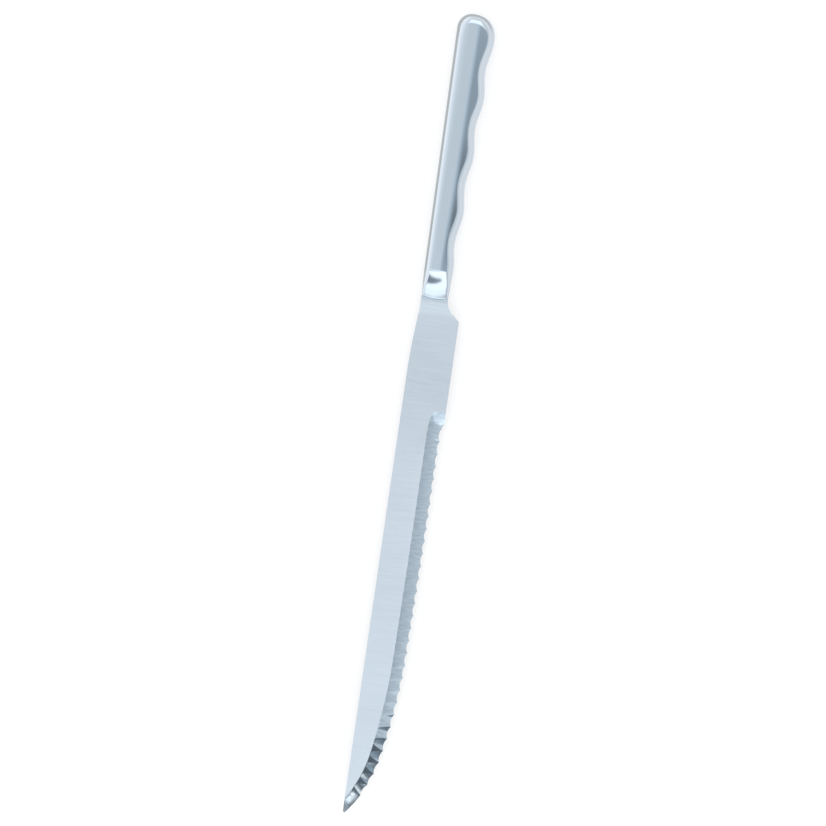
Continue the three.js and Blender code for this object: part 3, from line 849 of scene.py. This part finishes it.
def wheel_ground_steel(finish, b):
    """Stainless blade steel, hollow-ground and fluted by a fine wheel.

    It is brighter and smoother than the belt-ground faces, with short marks down the bevel. Its
    colour is painted darker along the grind line than at the edge, a painted shade for the light that the
    hollow bevel mirrors.
    """
    material = new_material("wheel_ground_stainless_steel")
    tree = material.node_tree
    place = add_node(tree, "ShaderNodeTexCoord").outputs["Object"]
    # Wheel marks are 0.03 mm wide. They are drawn 1 mm wide and 5 mm long, so that they show.
    mark_scale = (1 / (1 * MM), 1 / (5 * MM), 1 / (2 * MM))
    mark_place = add_node(tree, "ShaderNodeMapping", {"Vector": place}, {"Scale": mark_scale})
    marks = add_node(
        tree, "ShaderNodeTexNoise", {"Vector": mark_place.outputs["Vector"]}, {"Scale": 1.0, "Detail": 3.0}
    ).outputs["Fac"]
    # The bevel falls by the thickness of the blade, from the grind line to the edge.
    # Painted shade: the higher the bevel lies, the darker its colour, so it is darker along the grind line
    # and lighter at the edge and in the flutes.
    painted_grind_line_shade = add_node(
        tree,
        "ShaderNodeMapRange",
        {"Value": add_node(tree, "ShaderNodeSeparateXYZ", {"Vector": place}).outputs["Z"]},
        {
            "From Min": seam_middle - b.thickness / 2,
            "From Max": seam_middle + b.thickness / 2,
            "To Min": -0.05,
            "To Max": 0.55,
        },
    ).outputs["Result"]
    marked = add_node(
        tree,
        "ShaderNodeMapRange",
        {"Value": marks},
        {"From Min": NOISE_LOW, "From Max": NOISE_HIGH, "To Min": 0.0, "To Max": 0.5},
    ).outputs["Result"]
    # The tone follows the wheel marks and the painted shade together.
    shade = add_node(tree, "ShaderNodeMath", {0: painted_grind_line_shade, 1: marked}, operation="ADD").outputs["Value"]
    grain = add_node(tree, "ShaderNodeBump", {"Height": marks}, {"Strength": 0.5, "Distance": 0.004 * MM})
    tones = finish.ground, finish.ground_marks_and_painted_shade
    return finish_surface(material, tones, shade, (0.09, 0.13), marks, grain)


def silver_solder(finish):
    """Silver solder, flowed into the joint and wiped.

    It is duller than the steel round it, with small spots that have tarnished.
    """
    material = new_material("silver_solder")
    tree = material.node_tree
    place = add_node(tree, "ShaderNodeTexCoord").outputs["Object"]
    # Spots are about 0.6 mm across.
    spots = add_node(
        tree, "ShaderNodeTexNoise", {"Vector": place}, {"Scale": 1 / (0.6 * MM), "Detail": 2.0}
    ).outputs["Fac"]
    flow = add_node(tree, "ShaderNodeBump", {"Height": spots}, {"Strength": 0.6, "Distance": 0.02 * MM})
    tones = finish.filler, finish.filler_dull
    return finish_surface(material, tones, spots, (0.3, 0.42), spots, flow)


def handle_cement(finish):
    """Handle cement, poured and set.

    It is chalky and matt, with darker grains of filler.
    """
    material = new_material("poured_handle_cement")
    tree = material.node_tree
    place = add_node(tree, "ShaderNodeTexCoord").outputs["Object"]
    # Grains are about 0.8 mm across.
    grains = add_node(
        tree, "ShaderNodeTexNoise", {"Vector": place}, {"Scale": 1 / (0.8 * MM), "Detail": 5.0}
    ).outputs["Fac"]
    pits = add_node(tree, "ShaderNodeBump", {"Height": grains}, {"Strength": 0.8, "Distance": 0.15 * MM})
    tones = finish.cement, finish.cement_grain
    return finish_surface(material, tones, grains, (0.8, 0.95), grains, pits, metallic=0.0)


# Stage


def rectangle(x0, y0, x1, y1):
    """Corners of a card with square corners."""
    return (x0, y0), (x1, y0), (x1, y1), (x0, y1)


# Cards that only the steel mirrors, as (name, brightness, tint, height over the floor, corners), in
# metres along and across the knife.
CARDS = (
    # The grey stripe along the fingers has a soft edge towards the back, in three steps.
    ("grip_fade", 0.9, "#E2F3FF", 0.252, (
        (-0.194, 0.047), (-0.095, 0.045), (-0.088, 0.036), (-0.06, 0.033),
        (-0.06, 0.17), (-0.127, 0.18), (-0.129, 0.25), (-0.194, 0.25),
    )),
    ("grip_shade", 0.73, "#E2F3FF", 0.251, (
        (-0.194, 0.062), (-0.095, 0.058), (-0.088, 0.045), (-0.06, 0.043),
        (-0.06, 0.15), (-0.127, 0.16), (-0.129, 0.23), (-0.194, 0.23),
    )),
    ("grip_card", 0.55, "#E2F3FF", 0.25, (
        (-0.194, 0.077), (-0.095, 0.072), (-0.088, 0.054), (-0.06, 0.05),
        (-0.06, 0.14), (-0.127, 0.14), (-0.129, 0.215), (-0.194, 0.215),
    )),
    # The stripe is darkest beside two of the crests.
    ("crest_card", 0.28, "#E2F3FF", 0.249, (
        (-0.127, 0.1), (-0.114, 0.075), (-0.114, 0.15), (-0.127, 0.15),
    )),
    ("rim_card", 0.25, "#E2F3FF", 0.249, (
        (-0.1, 0.086), (-0.083, 0.07), (-0.083, 0.15), (-0.1, 0.15),
    )),
    # The dark wedge on the neck.
    ("neck_card", 0.36, "#DDEBFA", 1.1, (
        (0.33, -0.5), (0.8, -0.5), (0.67, 0.24), (0.57, 0.24),
    )),
    # Flags on the floor give the handle a dark outline at the back and a pale rim at the fingers.
    ("back_flag", 0.82, "#F8F8F5", 0.0004, (
        (-0.32, -0.12), (-0.057, -0.12), (-0.057, 0), (-0.184, 0), (-0.184, 0.1), (-0.32, 0.1),
    )),
    ("finger_flag", 1.2, "#F4F6F8", 0.0004, rectangle(-0.184, 0, -0.057, 0.12)),
    # The bevel is bright where the wheel plunges and greyer along its run.
    ("plunge_card", 1.4, "#F0F6FB", 0.05, rectangle(0.012, 0.004, 0.07, 0.031)),
    ("bevel_card", 0.87, "#F0F6FB", 0.25, (
        (-0.05, 0.139), (0.17, 0.163), (0.17, 0.35), (-0.05, 0.35),
    )),
    # The teeth near the tip have dark and bright facets.
    ("tip_shade", 0.2, "#E2F3FF", 0.05, rectangle(0.153, 0.02, 0.2035, 0.0425)),
    ("tip_card", 0.6, "#E2F3FF", 0.05, rectangle(0.153, 0.0425, 0.178, 0.09)),
    ("point_card", 1.3, "#FFFFFF", 0.05, rectangle(0.178, 0.0425, 0.2, 0.09)),
    ("nose_card", 2.7, "#FFFFFF", 0.0495, (
        (0.194, 0.029), (0.2032, 0.0265), (0.2032, 0.0295), (0.194, 0.032),
    )),
    ("end_card", 0.55, "#F0F6FB", 0.05, rectangle(0.2035, 0.015, 0.25, 0.06)),
)


def hang_tent(scene):
    """Hangs a white tent with soft panels round the knife.

    It is brighter beside the spine and low on its walls. One panel glows over the tip, one faces
    the neck and one hangs over the butt.
    """
    world = bpy.data.worlds.new("studio_tent")
    scene.world = world
    world.use_nodes = True
    tree = world.node_tree
    tree.nodes.clear()
    way = add_node(tree, "ShaderNodeTexCoord").outputs["Generated"]
    part = add_node(tree, "ShaderNodeSeparateXYZ", {"Vector": way}).outputs
    up = add_node(tree, "ShaderNodeMath", {0: part["Z"]}, {1: 0.05}, operation="MAXIMUM").outputs[0]
    along = add_node(tree, "ShaderNodeMath", {0: part["X"], 1: up}, operation="DIVIDE").outputs[0]
    across = add_node(tree, "ShaderNodeMath", {0: part["Y"], 1: up}, operation="DIVIDE").outputs[0]
    beside_spine = add_node(
        tree,
        "ShaderNodeMapRange",
        {"Value": part["Y"]},
        {"From Min": -0.17, "From Max": -0.5, "To Min": 0.97, "To Max": 1.25},
    ).outputs["Result"]
    walls = add_node(
        tree, "ShaderNodeMapRange", {"Value": part["Z"]}, {"From Min": 0.8, "From Max": 0.3, "To Max": 0.2}
    ).outputs["Result"]
    light = add_node(tree, "ShaderNodeMath", {0: beside_spine, 1: walls}, operation="ADD").outputs[0]
    # A panel has four soft sides, each given by where it is dark and where it is full.
    over_tip = (along, 0.0, 0.08), (along, 0.3, 0.22), (across, -0.4, -0.25), (across, 0.4, 0.25)
    facing_neck = (along, 0.22, 0.3), (along, 1.6, 1.3), (across, -0.7, -0.5), (across, 0.7, 0.5)
    over_butt = (along, -0.12, -0.22), (along, -1.2, -0.9), (across, -0.4, -0.3), (across, 0.8, 0.5)
    for level, sides in ((0.75, over_tip), (0.9, facing_neck), (0.8, over_butt)):
        glow = None
        for source, dark, full in sides:
            side = add_node(
                tree, "ShaderNodeMapRange", {"Value": source}, {"From Min": dark, "From Max": full}
            ).outputs["Result"]
            if glow:
                side = add_node(tree, "ShaderNodeMath", {0: glow, 1: side}, operation="MULTIPLY").outputs[0]
            glow = side
        light = add_node(
            tree, "ShaderNodeMath", {0: glow, 2: light}, {1: level}, operation="MULTIPLY_ADD"
        ).outputs[0]
    # The top of the tent is a little cooler than its walls.
    tint = add_node(
        tree,
        "ShaderNodeMix",
        {"Factor": part["Z"]},
        {"A": (1, 1, 1, 1), "B": (*linear("#EDF5FB"), 1)},
        data_type="RGBA",
    )
    tent = add_node(tree, "ShaderNodeBackground", {"Strength": light, "Color": tint.outputs["Result"]})
    add_node(tree, "ShaderNodeOutputWorld", {"Surface": tent.outputs["Background"]})


def lay_floor(finish):
    """Lays a pale floor that shows white and keeps the knife's shadow."""
    bpy.ops.object.select_all(action="DESELECT")
    bpy.ops.mesh.primitive_plane_add(size=6, location=(0, 0, 0))
    floor = bpy.context.object
    floor.name = "floor"
    paint = new_material("pale_floor_paint")
    tree = paint.node_tree
    matt = add_node(tree, "ShaderNodeBsdfDiffuse", inputs={"Color": (*finish.floor, 1)})
    white = add_node(tree, "ShaderNodeEmission", inputs={"Color": (1, 1, 1, 1), "Strength": 1.0})
    ray = add_node(tree, "ShaderNodeLightPath").outputs
    seen = ray["Is Camera Ray"]
    for kind in ("Is Glossy Ray", "Is Transmission Ray"):
        seen = add_node(tree, "ShaderNodeMath", {0: seen, 1: ray[kind]}, operation="MAXIMUM").outputs[0]
    # The rest of the floor's tone comes from the light that falls on it.
    white_share = 0.55
    share = add_node(tree, "ShaderNodeMath", {0: seen}, {1: white_share}, operation="MULTIPLY").outputs[0]
    shown = add_node(
        tree,
        "ShaderNodeMixShader",
        {"Fac": share, 1: matt.outputs["BSDF"], 2: white.outputs["Emission"]},
    )
    add_node(tree, "ShaderNodeOutputMaterial", {"Surface": shown.outputs["Shader"]})
    floor.data.materials.append(paint)


def hang_cards():
    """Hangs the cards, which neither the camera nor the floor sees."""
    for name, brightness, tint, height, corners in CARDS:
        bpy.ops.object.select_all(action="DESELECT")
        bpy.ops.mesh.primitive_circle_add(vertices=len(corners), fill_type="NGON")
        card = bpy.context.object
        card.name = name
        for point, corner in zip(card.data.vertices, corners):
            point.co = (*corner, height)
        paint = new_material(name)
        tree = paint.node_tree
        glow = add_node(
            tree, "ShaderNodeEmission", inputs={"Color": (*linear(tint), 1), "Strength": brightness}
        )
        add_node(tree, "ShaderNodeOutputMaterial", {"Surface": glow.outputs["Emission"]})
        card.data.materials.append(paint)
        card.visible_camera = card.visible_diffuse = card.visible_shadow = False


def place_camera(scene):
    """Places the camera straight over the knife, which lies a little turned in the frame."""
    lens, sensor = 200, 36
    frame_width, framed_height = 362.4 * MM, 8 * MM
    away = frame_width * lens / sensor
    bpy.ops.object.camera_add(location=(-0.4 * MM, -4.49 * MM, away + framed_height))
    camera = bpy.context.object
    camera.rotation_euler = (0, 0, math.radians(98.3))
    camera.data.lens = lens
    camera.data.sensor_width = sensor
    camera.data.clip_end = 100
    scene.camera = camera


# Operators


class KNIFE_OT_handle_shells(bpy.types.Operator):
    """Presses the front shell, mirrors the back shell and gives both their wall."""

    bl_idname = "knife.handle_shells"
    bl_label = "Handle shells"

    def execute(self, context):
        h = context.scene.knife_handle
        ribs = shell_points(h)
        front = add_sheet("front_shell", ribs)
        face_outwards(front)
        # One face spans the crown where its ribs are crowded.
        bpy.ops.object.mode_set(mode="EDIT")
        select_points(front, among(ribs[CROWDED_RIBS, SIDE_POINTS:-SIDE_POINTS]))
        bpy.ops.mesh.dissolve_verts()
        bpy.ops.object.mode_set(mode="OBJECT")
        back = mirrored_copy(front, "back_shell")
        finish = polished_steel(context.scene.knife_finishes)
        for shell, node in ((front, "handle_shell_front"), (back, "handle_shell_back")):
            apply_modifier(shell, "SOLIDIFY", thickness=h.wall, offset=-1, use_even_offset=True)
            apply_modifier(
                shell,
                "BEVEL",
                width=h.rim_break,
                segments=2,
                limit_method="ANGLE",
                angle_limit=math.radians(60),
                use_clamp_overlap=False,
            )
            fit(shell, node, [finish], smooth_angle=35)
        return {"FINISHED"}


class KNIFE_OT_seam_braze(bpy.types.Operator):
    """Lays the band of braze between the rims of the shells."""

    bl_idname = "knife.seam_braze"
    bl_label = "Seam braze"

    def execute(self, context):
        h = context.scene.knife_handle
        braze = add_sheet("seam_braze_band", seam_points(h))
        bpy.ops.object.mode_set(mode="EDIT")
        bpy.ops.mesh.select_all(action="SELECT")
        extrude((0, 0, h.seam))
        bpy.ops.object.mode_set(mode="OBJECT")
        face_outwards(braze)
        finish = silver_solder(context.scene.knife_finishes)
        fit(braze, "seam_braze", [finish], smooth_angle=30)
        return {"FINISHED"}


class KNIFE_OT_mouth_solder(bpy.types.Operator):
    """Flows a solder fillet between the lip and the root, on both faces."""

    bl_idname = "knife.mouth_solder"
    bl_label = "Mouth solder"

    def execute(self, context):
        h, b = context.scene.knife_handle, context.scene.knife_blade
        front = add_sheet("front_solder_fillet", solder_points(h, b))
        seat = b.stock / 2
        bpy.ops.object.mode_set(mode="EDIT")
        bpy.ops.mesh.select_all(action="SELECT")
        extrude()
        bpy.ops.transform.resize(value=(1, 1, 0), center_override=(0, 0, seat))
        bpy.ops.object.mode_set(mode="OBJECT")
        face_outwards(front)
        back = mirrored_copy(front, "back_solder_fillet")
        finish = silver_solder(context.scene.knife_finishes)
        fit(front, "mouth_solder_front", [finish], smooth_angle=30)
        fit(back, "mouth_solder_back", [finish], smooth_angle=30)
        return {"FINISHED"}


class KNIFE_OT_blade(bpy.types.Operator):
    """Grinds the fluted bevel and draws the face, root, tang and thickness out of it."""

    bl_idname = "knife.blade"
    bl_label = "Blade"

    def execute(self, context):
        h, b = context.scene.knife_handle, context.scene.knife_blade
        finish = context.scene.knife_finishes
        bevel = bevel_points(h, b)
        blade = add_sheet("fluted_blade", bevel)
        bpy.ops.object.mode_set(mode="EDIT")
        draw_out_blank(blade, bevel, h, b)
        bpy.ops.object.mode_set(mode="OBJECT")
        face_outwards(blade)
        bpy.ops.object.mode_set(mode="EDIT")
        break_edges(blade, h, b)
        bpy.ops.object.mode_set(mode="OBJECT")
        face_outwards(blade)
        cut_notches(blade, b)
        face_outwards(blade)
        mark_ground_faces(blade, h, b)
        materials = [satin_steel(finish), wheel_ground_steel(finish, b)]
        fit(blade, "blade", materials, smooth_angle=9)
        return {"FINISHED"}


class KNIFE_OT_tang_cement(bpy.types.Operator):
    """Gives the cement round the tang its finish."""

    bl_idname = "knife.tang_cement"
    bl_label = "Handle cement"

    def execute(self, context):
        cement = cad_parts["tang_cement"]
        cement.data.materials.clear()
        cement.data.materials.append(handle_cement(context.scene.knife_finishes))
        return {"FINISHED"}


class KNIFE_OT_stage(bpy.types.Operator):
    """Sets the soft studio light, the floor and the camera."""

    bl_idname = "knife.stage"
    bl_label = "Stage"

    def execute(self, context):
        scene = context.scene
        scene.view_settings.view_transform = "Standard"
        hang_tent(scene)
        lay_floor(scene.knife_finishes)
        hang_cards()
        place_camera(scene)
        return {"FINISHED"}


class KNIFE_PT_panel(bpy.types.Panel):
    """Lists the steps that make the knife."""

    bl_idname = "KNIFE_PT_panel"
    bl_label = "Serving knife"
    bl_space_type = "VIEW_3D"
    bl_region_type = "UI"
    bl_category = "Knife"

    def draw(self, context):
        for operator in operators:
            self.layout.operator(operator.bl_idname)


groups = {"knife_handle": HandleSizes, "knife_blade": BladeSizes, "knife_finishes": Finishes}
operators = (
    KNIFE_OT_handle_shells,
    KNIFE_OT_seam_braze,
    KNIFE_OT_mouth_solder,
    KNIFE_OT_blade,
    KNIFE_OT_tang_cement,
    KNIFE_OT_stage,
)


def register():
    for name, group in groups.items():
        bpy.utils.register_class(group)
        setattr(bpy.types.Scene, name, PointerProperty(type=group))
    for operator in operators:
        bpy.utils.register_class(operator)
    bpy.utils.register_class(KNIFE_PT_panel)


def unregister():
    bpy.utils.unregister_class(KNIFE_PT_panel)
    for operator in reversed(operators):
        bpy.utils.unregister_class(operator)
    for name, group in reversed(groups.items()):
        delattr(bpy.types.Scene, name)
        bpy.utils.unregister_class(group)


def main():
    register()
    bpy.ops.knife.handle_shells()
    bpy.ops.knife.seam_braze()
    bpy.ops.knife.mouth_solder()
    bpy.ops.knife.blade()
    bpy.ops.knife.tang_cement()
    bpy.ops.knife.stage()


if __name__ == "__main__":
    main()
